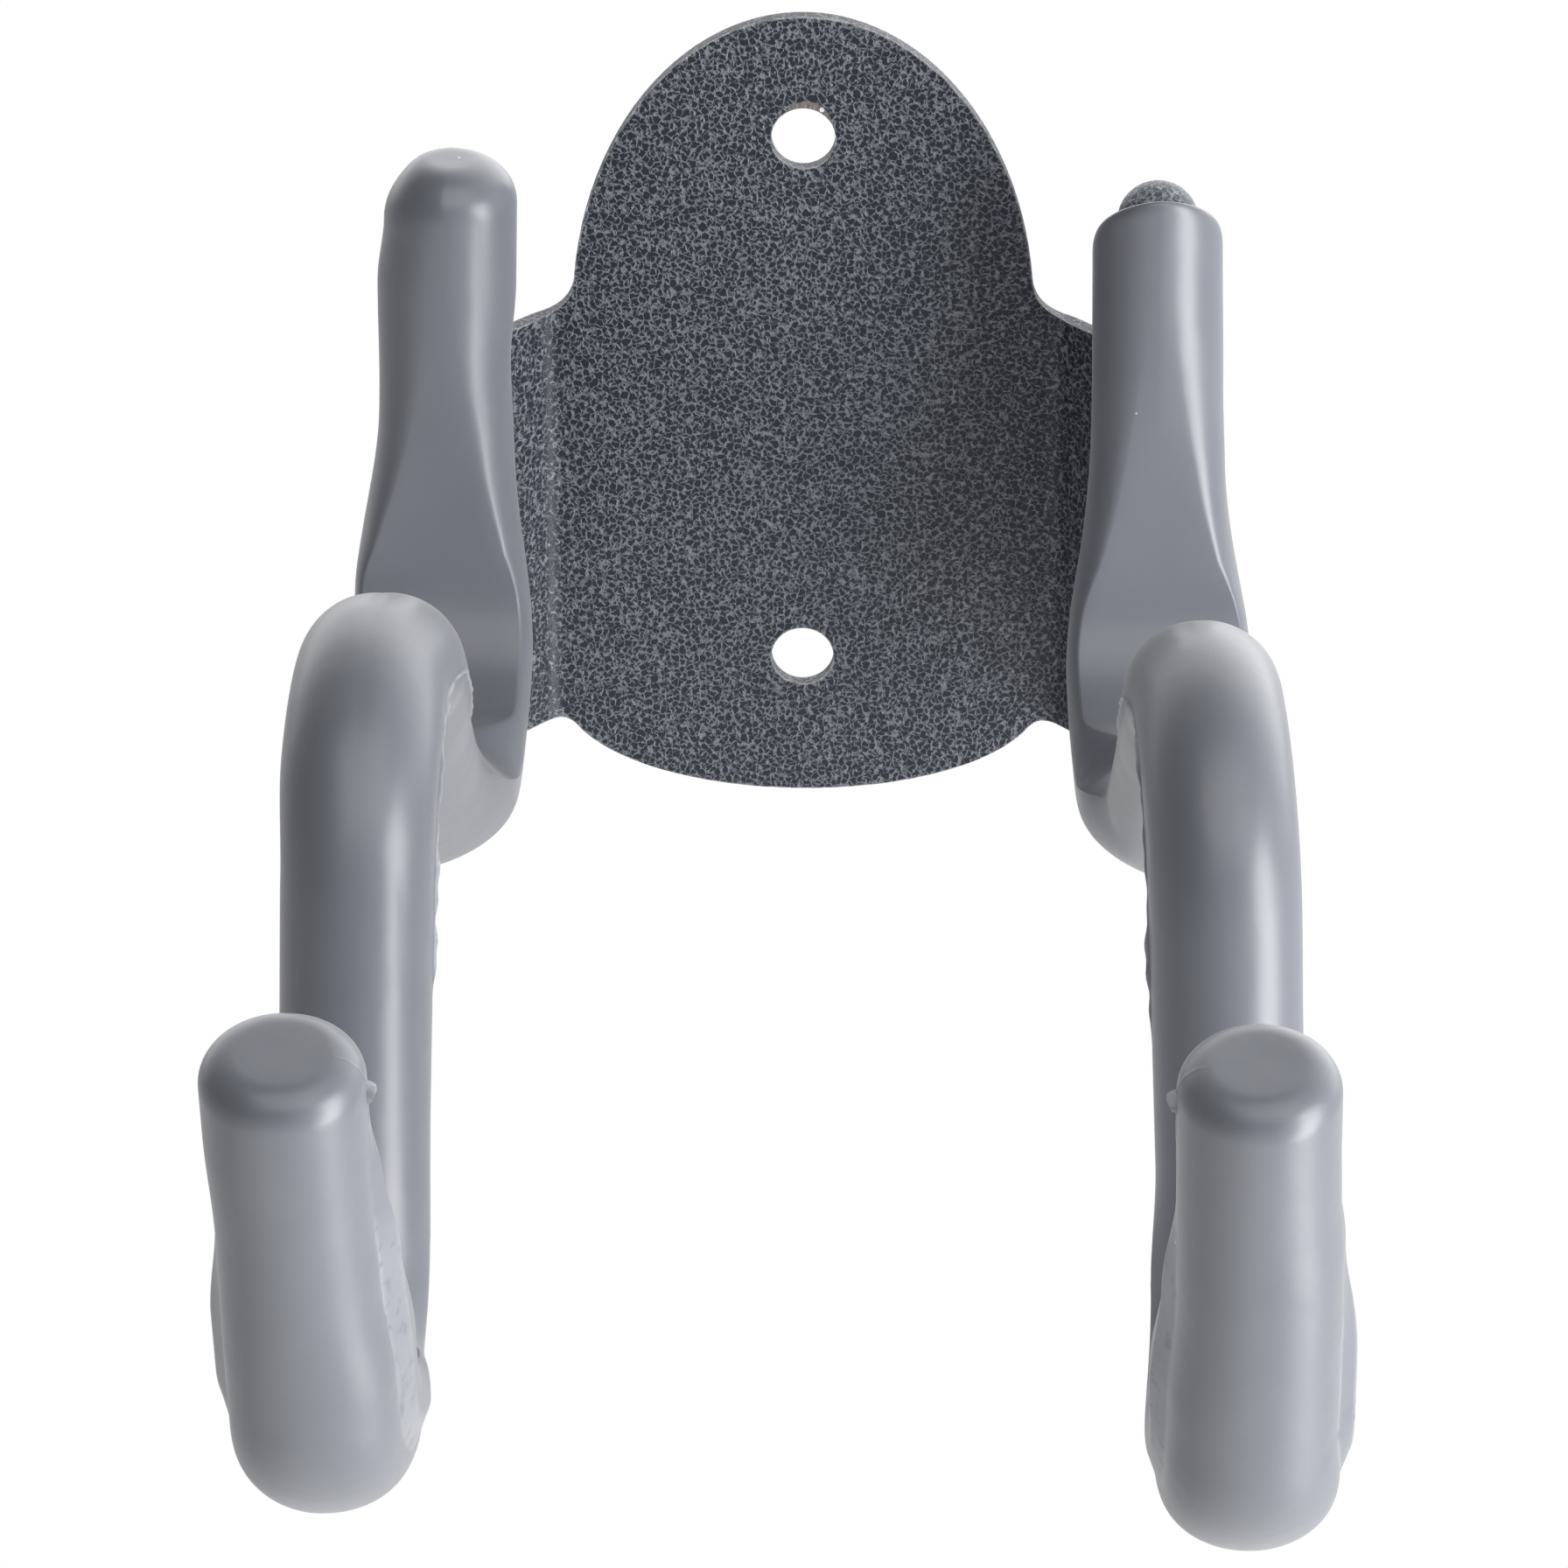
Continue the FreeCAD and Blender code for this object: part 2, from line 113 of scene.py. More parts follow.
RIGHT = {
    "side": 1, "lean": 1.1, "splay": 1.4, "rear_bend_height": -12.3 * MM, "rise": 54.2 * MM,
    "fall": 41.0 * MM, "front_leg": 44.5 * MM, "hump_twist": -1.3, "front_twist": -1.0,
    "closed": False,
    "facet": [
        ("rear_leg", 0.15, 0), ("rear_bend", 0.2, 1), ("rear_bend", 0.6, 1), ("rear_bend", 0.95, 0),
        ("front_bend", 0.0, 0), ("front_bend", 0.5, 1), ("front_leg", 0.1, 1),
        ("front_leg", 0.95, 0)],
    "outer_lip": [
        ("rear_leg", 0.74, 0), ("rear_bend", 0.3, 3.1), ("rear_bend", 0.8, 2.8), ("rise", 0.15, 0),
        ("front_bend", 0.3, 0), ("front_bend", 0.8, 2.7), ("front_leg", 0.2, 2.4),
        ("front_leg", 0.6, 0.4), ("front_leg", 0.8, 0)],
    "inner_lip": [
        ("rear_leg", 0.7, 0), ("rear_bend", 0.35, 3.3), ("rear_bend", 0.85, 3.0), ("rise", 0.12, 0),
        ("fall", 0.68, 0), ("front_bend", 0.0, 1.0), ("front_bend", 0.55, 2.6),
        ("front_leg", 0.12, 2.6), ("front_leg", 0.45, 1.4), ("front_leg", 0.76, 0)],
    "outer_flank": [
        ("rear_leg", 0, -0.35), ("rear_leg", 0.5, -0.1), ("rear_leg", 0.8, 0.2),
        ("rear_bend", 0.2, 0), ("rise", 0.95, 0), ("hump", 0.15, 0.25), ("hump", 0.4, 0.1),
        ("hump", 0.9, 0.18), ("fall", 0.35, 0), ("front_bend", 0.8, 0), ("front_leg", 0.2, 0.4),
        ("front_leg", 0.45, 0.7), ("front_leg", 0.6, 0.75), ("front_leg", 0.8, 0.4),
        ("front_leg", 0.95, 0.28)],
    "inner_flank": [
        ("rear_leg", 0, -0.3), ("rear_leg", 0.5, -0.3), ("rear_leg", 0.9, 0), ("rise", 0.6, 0),
        ("rise", 0.9, 0.5), ("hump", 0.15, 0.5), ("hump", 0.4, 0)],
    "outer_tuck": [
        ("rear_leg", 0.5, 0.4), ("rear_bend", 0.3, 0.9), ("fall", 0.5, 0.9),
        ("front_bend", 0.45, 0.55), ("front_bend", 0.8, 0.4), ("front_leg", 0.05, 0.1)],
    "inner_tuck": [
        ("rear_leg", 0.5, 0.4), ("rear_bend", 0.3, 0.9), ("fall", 0.5, 0.9),
        ("front_bend", 0.5, 0.65), ("front_bend", 0.85, 0.5), ("front_leg", 0.15, 0.35),
        ("front_leg", 0.5, 0)],
    "parting": [
        ("rise", 0.3, 0), ("rise", 0.8, 0.2), ("hump", 0.3, 0.4), ("hump", 0.9, 0.2),
        ("fall", 0.15, 0.45), ("fall", 0.35, 0), ("front_leg", 0.85, 0), ("front_leg", 0.97, 0.1)],
}

# The sleeves' ends, as in the CAD model. Shares are of the section's width, for the rows of points
# that close an end.
SLEEVE_RADIUS = 8.3 * MM
END_STEPS = 14
QUARTER_TURN = [math.pi / 2 * i / END_STEPS for i in range(END_STEPS + 1)]
FRONT_CAP_WALL = 3.7 * MM
FRONT_CAP_ROUNDING = 3.8 * MM
FRONT_CAP_SHARES = (0.4, 0.2, 0.002)
CLOSED_END_WALL = 2.6 * MM
CLOSED_END_ROUNDING = 5.5 * MM
CLOSED_END_SHARES = (0.002, 0.15)
OPEN_RIM_SETBACK = 1.1 * MM
OPEN_RIM_SLANT = 42.0
OPEN_RIM_ROUNDING = 1.2 * MM
OPEN_RIM_LENGTH = 2.64 * MM
OPEN_RIM_POWER = 1.2
OPEN_RIM_SHARES = (0.6, 0.7, 0.8)
SLANT_END = 11 * MM
SLANT_STEPS = 16

# The saddles' section. Heights are above the rod's axis, toward the inside of the hooks. Where the
# flat hasn't formed yet, a lip also rises, by LIP_RAISE times its overhang.
FLAT_MARGIN = 1.5 * MM
FACET_HEIGHT = 8.6 * MM
LIP_HEIGHT = 2.6 * MM
LIP_RAISE = 0.9
CREASE_HEIGHT = -0.8 * MM
SHOULDER_POWER = 0.8
STATION_STEP = 0.7 * MM

# Parts of the section round the sleeve: first angle, last angle and number of points
SECTION_PARTS = [(5, 78, 24), (78, 102, 10), (102, 175, 24),
                 (175, 185, 6), (185, 355, 46), (355, 365, 6)]
RIGHT_SHOULDER, FLAT, LEFT_SHOULDER, LEFT_EDGE, UNDERSIDE, RIGHT_EDGE = range(6)
PART_STARTS = np.cumsum([0] + [count for _, _, count in SECTION_PARTS])
# Each point of the section, as its part and how far along that part it lies
SECTION_STEPS = [(part, i / count)
                 for part, (_, _, count) in enumerate(SECTION_PARTS) for i in range(count)]

# The parting line: its width as a sine of the angle round the sleeve, and the waves that make it
# ragged, each with a height as a share of its own, a length along the arm and a phase
PARTING_WIDTH = 0.022
PARTING_WAVES = ((0.35, 1.7 * MM, 0), (0.25, 0.63 * MM, 1))

# Pale lines on the plastic, those along the lips' edges and creases being painted highlights: the
# lip and the parting line, in millimetres, that show one in full, and how pale the rest of the
# lip's edge (painted light on the inner lip) and the scrap of flash are. None runs on past this
# share of the width at the ends.
FULL_LINE_LIP = 1.5
FULL_LINE_PARTING = 0.3
SHOULDER_LINE = 0.6
# Painted light: how pale the band on the inner lip's edge is made
INNER_LIP_LIGHT = 0.45
TAB_PALENESS = 0.8
LAST_LINE_SHARE = 0.6

# The scrap of flash by each front cap, in rings from its root to its tip. Each has how far out it
# lies, where it starts and ends along the arm, and half its thickness, in millimetres.
TAB_ROOT = SLEEVE_RADIUS - 1.4 * MM
TAB_RINGS = ((0, 2.2, 5.8, 0.45), (1.9, 2.8, 5.2, 0.3), (2.4, 4.1, 4.9, 0.2))

# Edges that turn by more than this, in degrees, are drawn sharp
SHARP_ANGLE = 24

# How much the paint's islands vary in size, how large a speck in the plastic is as a share of its
# cell, above which noise specks show, and how strong a pale line is
UNEVENNESS = 0.5
SPECK_SIZE = 0.045
SPECK_LEVEL = 0.6
LINE_STRENGTH = 0.45

# Colours
PAINT_DARK = (0.004, 0.008, 0.018, 1)
PAINT_PALE = (0.192, 0.205, 0.238, 1)
# A paler copy of the paint for the right rod's end: a painted highlight standing for the glancing
# light on its dome
LIT_PAINT_DARK = (0.08, 0.09, 0.11, 1)
LIT_PAINT_PALE = (0.34, 0.36, 0.40, 1)
# Painted highlight: a pale colour laid on sharp edges for the glints they catch
EDGE_GLINT = (0.5, 0.5, 0.53, 1)
RUBBED_PAINT = (0.17, 0.152, 0.142, 1)
# Painted highlight: near-white for the small glint at the top hole's upper edge
GLINT_COLOUR = (0.8, 0.8, 0.82, 1)
PLASTIC_DARK = (0.136, 0.144, 0.171, 1)
PLASTIC_PALE = (0.167, 0.176, 0.206, 1)
SPECK = (0.55, 0.56, 0.6, 1)
PALE_LINE = (0.5, 0.51, 0.55, 1)
WHITE = (1, 1, 1, 1)
FLOOR_COLOUR = (0.8, 0.8, 0.8, 1)

# Marks on the plate's face: across, up and radius. A wall screw's head has rubbed the top hole's
# upper edge, and a small painted glint sits on that edge.
HANG_MARK = (0.4 * MM, 37.4 * MM, 3.1 * MM)
# A painted glint: a small white spot at the top hole's upper edge
GLINT_SPOT = (2.3 * MM, 39.4 * MM, 0.3 * MM)
PLATE_FACE = -1.5 * MM

# A Mix node's colour sockets share their names with others, so they go by number
COLOUR_A, COLOUR_B, COLOUR_RESULT = 6, 7, 2


def socket(node, name, value):
    node.inputs[name].default_value = value


class Path:
    """An arm's centre line: stations with a place, a direction and the way to the inside."""

    def __init__(self, arm):
        self.rows = []
        self.marks = {}
        self.length = 0.0
        side = arm["side"]
        splay = math.radians(arm["splay"])
        lean = math.radians(arm["lean"])
        top = ROD_TOP - ROD_RADIUS
        inward = (top - LEAN_PIVOT) * math.tan(lean)
        self.position = Vector((side * (ROD_HALF_SPACING - inward), -ROD_STANDOFF, top))
        self.direction = Vector((side * math.sin(lean), 0, -math.cos(lean)))
        forward = Vector((side * math.sin(splay), -math.cos(splay), 0))
        self.inside = (forward - self.direction * forward.dot(self.direction)).normalized()
        rear_leg = (top - arm["rear_bend_height"]) / math.cos(lean)
        self.straight("rear_leg", rear_leg)
        self.bend("rear_bend", REAR_BEND, 1, 0)
        self.straight("rise", arm["rise"])
        self.bend("hump", HUMP_BEND, -1, -side * arm["hump_twist"])
        self.straight("fall", arm["fall"])
        self.bend("front_bend", FRONT_BEND, 1, -side * arm["front_twist"])
        self.straight("front_leg", arm["front_leg"])
        self.add()

    def add(self):
        place = (self.position.copy(), self.direction.copy(), self.inside.copy())
        self.rows.append((self.length,) + place)

    def straight(self, name, length):
        start = self.length
        count = max(2, round(length / STATION_STEP))
        for _ in range(count):
            self.add()
            self.position += self.direction * (length / count)
            self.length += length / count
        self.marks[name] = (start, self.length)

    def bend(self, name, size, sense, twist):
        radius, turn = size
        start = self.length
        self.inside = Quaternion(self.direction, math.radians(twist)) @ self.inside
        toward = self.inside * sense
        axis = self.direction.cross(toward)
        length = radius * math.radians(turn)
        count = max(8, round(length / STATION_STEP))
        swing = Quaternion(axis, math.radians(turn) / count)
        centre = self.position + toward * radius
        for _ in range(count):
            self.add()
            self.position = centre + swing @ (self.position - centre)
            self.direction = swing @ self.direction
            self.inside = swing @ self.inside
            self.length += length / count
        self.marks[name] = (start, self.length)


def section_angles():
    angles = []
    for part, t in SECTION_STEPS:
        first, last, _ = SECTION_PARTS[part]
        angles.append(math.radians(first + (last - first) * t))
    return np.array(angles)


def saddle_points():
    """A hook's section without overhangs: flat above, upright shoulders, a round underside."""
    flat = SLEEVE_RADIUS - FLAT_MARGIN
    shoulder = FACET_HEIGHT - LIP_HEIGHT
    edge = LIP_HEIGHT - CREASE_HEIGHT
    points = []
    for part, t in SECTION_STEPS:
        a = math.pi / 2 * t
        if part == RIGHT_SHOULDER:
            point = (flat + FLAT_MARGIN * math.cos(a),
                     LIP_HEIGHT + shoulder * math.sin(a) ** SHOULDER_POWER)
        elif part == FLAT:
            point = (flat * (1 - 2 * t), FACET_HEIGHT)
        elif part == LEFT_SHOULDER:
            point = (-flat - FLAT_MARGIN * math.sin(a),
                     LIP_HEIGHT + shoulder * math.cos(a) ** SHOULDER_POWER)
        elif part == LEFT_EDGE:
            point = (-SLEEVE_RADIUS, LIP_HEIGHT - edge * t)
        elif part == UNDERSIDE:
            a = math.pi * (1 + t)
            point = (SLEEVE_RADIUS * math.cos(a),
                     CREASE_HEIGHT + (SLEEVE_RADIUS + CREASE_HEIGHT) * math.sin(a))
        else:
            point = (SLEEVE_RADIUS, CREASE_HEIGHT + edge * t)
        points.append(point)
    return np.array(points)


def lip_shifts(lip, facet, tuck):
    """How far each point of the section moves sideways for a lip on its right."""
    shifts = []
    for part, t in SECTION_STEPS:
        if part == RIGHT_SHOULDER:
            shift = lip * (facet + (1 - facet) * (1 - t) ** 3)
        elif part == FLAT:
            shift = lip * facet * max(0.0, 1 - 2 * t)
        elif part == UNDERSIDE:
            shift = tuck * (1 - (2 - 2 * t) ** 2) if t > 0.5 else 0.0
        elif part == RIGHT_EDGE:
            shift = tuck + (lip - tuck) * t
        else:
            shift = 0.0
        shifts.append(shift)
    return np.array(shifts)


def mirrored(values):
    """Values given round the section, taken round the other way."""
    return np.roll(values[::-1], PART_STARTS[LEFT_EDGE] + 1)


def eased(value):
    return value * value * (3 - 2 * value)


def value_along(places, marks, s):
    """The value at this distance along the arm, eased between its list's places."""
    distances = []
    for name, part, _ in places:
        start, end = marks[name]
        distances.append(start + (end - start) * part)
    values = [value for _, _, value in places]
    if s <= distances[0]:
        return values[0]
    for i in range(1, len(places)):
        if s <= distances[i]:
            t = (s - distances[i - 1]) / (distances[i] - distances[i - 1])
            return values[i - 1] + (values[i] - values[i - 1]) * eased(t)
    return values[-1]


def left_and_right(arm, marks, s, name):
    """The values for the arm's outer and inner side, as those on the section's left and right."""
    outer = value_along(arm["outer_" + name], marks, s)
    inner = value_along(arm["inner_" + name], marks, s)
    return (outer, inner) if arm["side"] < 0 else (inner, outer)


def sleeve_section(arm, marks, s, unit, saddle):
    """The outline across the sleeve at this distance along the arm, with Y to the hooks' inside."""
    facet = value_along(arm["facet"], marks, s)
    left_lip, right_lip = left_and_right(arm, marks, s, "lip")
    left_tuck, right_tuck = left_and_right(arm, marks, s, "tuck")
    left_flank, right_flank = left_and_right(arm, marks, s, "flank")
    right = lip_shifts(right_lip, facet, right_tuck * right_lip) * MM
    left = mirrored(lip_shifts(left_lip, facet, left_tuck * left_lip)) * MM
    outline = unit * SLEEVE_RADIUS * (1 - facet) + saddle * facet
    outline[:, 0] += right - left
    outline[:, 1] += (right + left) * LIP_RAISE * (1 - facet)
    rightward = unit[:, 0]
    growth = (right_flank * np.clip(rightward, 0, 1) + left_flank * np.clip(-rightward, 0, 1)) * MM
    waves = [height * math.sin(s / length + phase) for height, length, phase in PARTING_WAVES]
    parting = value_along(arm["parting"], marks, s) * (1 + sum(waves)) * MM
    on_inner_side = rightward * arm["side"] < 0
    growth = growth + parting * on_inner_side * np.exp(-(unit[:, 1] / PARTING_WIDTH) ** 2)
    return outline + unit * growth[:, None]


def rear_rows(arm):
    """Rows over the sleeve's rear end: distance ahead, share of the section's width, and slant."""
    if arm["closed"]:
        end = -ROD_RADIUS - CLOSED_END_WALL
        rows = [(end, share, 0.0) for share in CLOSED_END_SHARES]
        for a in QUARTER_TURN:
            rows.append((end + CLOSED_END_ROUNDING * (1 - math.cos(a)),
                         1 - CLOSED_END_ROUNDING / SLEEVE_RADIUS * (1 - math.sin(a)), 0.0))
        return rows + [((end + CLOSED_END_ROUNDING) * (1 - i / 4), 1.0, 0.0) for i in range(1, 4)]
    slant = math.tan(math.radians(OPEN_RIM_SLANT))
    rows = [(OPEN_RIM_SETBACK, share, slant) for share in OPEN_RIM_SHARES]
    for a in QUARTER_TURN:
        rows.append((OPEN_RIM_SETBACK + OPEN_RIM_LENGTH * (1 - math.cos(a)) ** OPEN_RIM_POWER,
                     1 - OPEN_RIM_ROUNDING / SLEEVE_RADIUS * (1 - math.sin(a)), slant))
    rim = OPEN_RIM_SETBACK + OPEN_RIM_LENGTH
    for i in range(1, SLANT_STEPS):
        t = i / SLANT_STEPS
        rows.append((rim + (SLANT_END - rim) * t, 1.0, slant * (1 - t)))
    return rows


def front_rows():
    """Rows over the sleeve's front cap: distance ahead and share of the section's width."""
    end = ROD_RADIUS + FRONT_CAP_WALL
    straight = end - FRONT_CAP_ROUNDING
    rows = [(straight * i / 6, 1.0) for i in range(1, 6)]
    for a in QUARTER_TURN:
        rows.append((straight + FRONT_CAP_ROUNDING * math.sin(a),
                     1 - FRONT_CAP_ROUNDING / SLEEVE_RADIUS * (1 - math.cos(a))))
    return rows + [(end, share) for share in FRONT_CAP_SHARES]


def line_strengths(arm, marks, s):
    """How pale each point of the section is, from 0 to 1: painted highlights on the lips' edges,
    painted light on the inner lip, and the parting line.
    """
    formed = min(1.0, 2 * value_along(arm["facet"], marks, s))
    left_lip, right_lip = left_and_right(arm, marks, s, "lip")
    left_tuck, right_tuck = left_and_right(arm, marks, s, "tuck")
    strengths = np.zeros(PART_STARTS[-1])
    # Painted highlights along the lips' top edges and creases
    for part, share, lip, tuck in ((UNDERSIDE, 1, left_lip, left_tuck),
                                   (RIGHT_EDGE, 1, right_lip, right_tuck),
                                   (LEFT_EDGE, SHOULDER_LINE, left_lip, left_tuck),
                                   (RIGHT_SHOULDER, SHOULDER_LINE, right_lip, right_tuck)):
        shown = min(1.0, share * lip / FULL_LINE_LIP)
        strengths[PART_STARTS[part]] = shown * formed * (1 - tuck)
    # Painted light on the edge band of the arm's inner lip
    edge, lip = (LEFT_EDGE, left_lip) if arm["side"] > 0 else (RIGHT_EDGE, right_lip)
    band = slice(PART_STARTS[edge], PART_STARTS[edge + 1])
    paleness = INNER_LIP_LIGHT * min(1.0, lip / FULL_LINE_LIP) * formed
    strengths[band] = np.maximum(strengths[band], paleness)
    middle = PART_STARTS[edge] + SECTION_PARTS[edge][2] // 2
    parting = min(1.0, value_along(arm["parting"], marks, s) / FULL_LINE_PARTING)
    strengths[middle] = max(strengths[middle], parting)
    return strengths


def add_tab(vertices, faces, row, side):
    """A scrap of flash on the parting line at the front cap, as a small wedge."""
    _, position, direction, inside = row
    across = inside.cross(direction) * side
    start = len(vertices)
    for out, low, high, thick in TAB_RINGS:
        for along, sign in ((low, -1), (low, 1), (high, 1), (high, -1)):
            vertices.append(position + across * (TAB_ROOT + out * MM)
                            + direction * (along * MM) + inside * (sign * thick * MM))
    order = 1 if side > 0 else -1
    walls = []
    for ring in (0, 4):
        for j in range(4):
            k = (j + 1) % 4
            walls.append((ring + j, ring + k, ring + 4 + k, ring + 4 + j))
    for wall in walls + [(3, 2, 1, 0), (8, 9, 10, 11)]:
        faces.append(tuple(start + i for i in wall)[::order])


def make_sleeve(name, arm):
    """The outside of a sleeve, as one closed mesh of rings."""
    path = Path(arm)
    angles = section_angles()
    unit = np.stack([np.cos(angles), np.sin(angles)], 1)
    saddle = saddle_points()
    count = len(angles)
    first, last = path.rows[0], path.rows[-1]
    rows = [(first, ahead, share, slant) for ahead, share, slant in rear_rows(arm)]
    start = 0.0 if arm["closed"] else SLANT_END
    rows += [(row, 0.0, 1.0, 0.0) for row in path.rows if row[0] >= start]
    rows += [(last, ahead, share, 0.0) for ahead, share in front_rows()]
    vertices = []
    lines = []
    for (s, position, direction, inside), ahead, share, slant in rows:
        lines.extend(line_strengths(arm, path.marks, s + ahead) * (share > LAST_LINE_SHARE))
        side_axis = inside.cross(direction)
        for x, y in sleeve_section(arm, path.marks, s + ahead, unit, saddle) * share:
            vertices.append(position + direction * (ahead - slant * y) + side_axis * x + inside * y)
    faces = []
    for i in range(len(rows) - 1):
        for j in range(count):
            k = (j + 1) % count
            faces.append((i * count + j, i * count + k, (i + 1) * count + k, (i + 1) * count + j))
    faces.append(tuple(range(count - 1, -1, -1)))
    faces.append(tuple((len(rows) - 1) * count + j for j in range(count)))
    add_tab(vertices, faces, last, -arm["side"])
    mesh = bpy.data.meshes.new(name)
    mesh.from_pydata(vertices, [], faces)
    mesh.polygons.foreach_set("use_smooth", [True] * len(mesh.polygons))
    mesh.update()
    mesh.set_sharp_from_angle(angle=math.radians(SHARP_ANGLE))
    pale_line = mesh.attributes.new("pale_line", "FLOAT", "POINT")
    lines += [TAB_PALENESS] * (len(vertices) - len(lines))
    pale_line.data.foreach_set("value", lines)
    piece = bpy.data.objects.new(name, mesh)
    bpy.context.scene.collection.objects.link(piece)
    return piece


def new_material(name):
    material = bpy.data.materials.new(name)
    material.use_nodes = True
    tree = material.node_tree
    return material, tree, tree.nodes["Principled BSDF"]


def math_node(tree, operation, first, second=None, third=None):
    """A Math node whose inputs are numbers or sockets."""
    node = tree.nodes.new("ShaderNodeMath")
    node.operation = operation
    for place, value in enumerate((first, second, third)):
        if isinstance(value, (int, float)):
            node.inputs[place].default_value = value
        elif value is not None:
            tree.links.new(value, node.inputs[place])
    return node.outputs[0]


def fade(tree, value, low, high):
    """0 up to low and 1 from high on, eased between."""
    node = tree.nodes.new("ShaderNodeMapRange")
    node.interpolation_type = "SMOOTHSTEP"
    socket(node, "From Min", low)
    socket(node, "From Max", high)
    tree.links.new(value, node.inputs["Value"])
    return node.outputs["Result"]


def blend(tree, factor, first, second):
    """A colour between two, each a socket or four numbers."""
    node = tree.nodes.new("ShaderNodeMix")
    node.data_type = "RGBA"
    tree.links.new(factor, node.inputs["Factor"])
    for place, value in ((COLOUR_A, first), (COLOUR_B, second)):
        if isinstance(value, tuple):
            node.inputs[place].default_value = value
        else:
            tree.links.new(value, node.inputs[place])
    return node.outputs[COLOUR_RESULT]


def noise_of(tree, place, scale, detail, output="Fac"):
    node = tree.nodes.new("ShaderNodeTexNoise")
    socket(node, "Scale", scale)
    socket(node, "Detail", detail)
    tree.links.new(place, node.inputs["Vector"])
    return node.outputs[output]


def bump_of(tree, height, strength, distance):
    node = tree.nodes.new("ShaderNodeBump")
    socket(node, "Strength", strength)
    socket(node, "Distance", distance)
    tree.links.new(height, node.inputs["Height"])
    return node


def disc(tree, place, x, z, radius):
    """1 inside a circle on the front of the plate."""
    axes = tree.nodes.new("ShaderNodeSeparateXYZ")
    tree.links.new(place, axes.inputs["Vector"])
    across = math_node(tree, "SUBTRACT", axes.outputs["X"], x)
    up = math_node(tree, "SUBTRACT", axes.outputs["Z"], z)
    squares = [math_node(tree, "MULTIPLY", offset, offset) for offset in (across, up)]
    near = math_node(tree, "LESS_THAN", math_node(tree, "ADD", *squares), radius * radius)
    front = math_node(tree, "LESS_THAN", axes.outputs["Y"], PLATE_FACE)
    return math_node(tree, "MULTIPLY", near, front)


def edge_glints(tree, place):
    """1 on patches of sharp edges, for a painted glint along them."""
    nodes, link = tree.nodes, tree.links.new
    bevel = nodes.new("ShaderNodeBevel")
    bevel.samples = 4
    socket(bevel, "Radius", 0.4 * MM)
    surface = nodes.new("ShaderNodeNewGeometry")
    turn = nodes.new("ShaderNodeVectorMath")
    turn.operation = "DOT_PRODUCT"
    link(bevel.outputs["Normal"], turn.inputs[0])
    link(surface.outputs["Normal"], turn.inputs[1])
    sharp = fade(tree, math_node(tree, "SUBTRACT", 1.0, turn.outputs["Value"]), low=0.04, high=0.16)
    patches = fade(tree, noise_of(tree, place, scale=400, detail=3), low=0.3, high=0.6)
    return math_node(tree, "MULTIPLY", sharp, patches)


def hammertone(name, dark, pale):
    """Glossy paint that has drawn itself into small dark islands in a paler net, with painted
    glints on its sharp edges.
    """
    material, tree, shader = new_material(name)
    nodes, link = tree.nodes, tree.links.new
    place = nodes.new("ShaderNodeTexCoord").outputs["Object"]
    mix = nodes.new("ShaderNodeMix")
    mix.data_type = "VECTOR"
    socket(mix, "Factor", 0.0011)
    link(place, mix.inputs["A"])
    link(noise_of(tree, place, scale=1400, detail=2, output="Color"), mix.inputs["B"])
    cells = nodes.new("ShaderNodeTexVoronoi")
    cells.feature = "DISTANCE_TO_EDGE"
    socket(cells, "Scale", 1180)
    link(mix.outputs["Result"], cells.inputs["Vector"])
    uneven = noise_of(tree, place, scale=1500, detail=2)
    depth = math_node(tree, "MULTIPLY_ADD", uneven, UNEVENNESS, cells.outputs["Distance"])
    island = fade(tree, depth, low=0.19, high=0.43)
    colour = blend(tree, island, pale, dark)
    # Painted glints along the sharp edges
    colour = blend(tree, edge_glints(tree, place), colour, EDGE_GLINT)
    colour = blend(tree, disc(tree, place, *HANG_MARK), colour, RUBBED_PAINT)
    # Painted glint at the top hole's upper edge
    colour = blend(tree, disc(tree, place, *GLINT_SPOT), colour, GLINT_COLOUR)
    link(colour, shader.inputs["Base Color"])
    relief = bump_of(tree, island, strength=0.8, distance=0.12 * MM)
    link(relief.outputs["Normal"], shader.inputs["Normal"])
    socket(shader, "Roughness", 0.44)
    socket(shader, "Specular IOR Level", 0.65)
    socket(shader, "Metallic", 0.2)
    return material


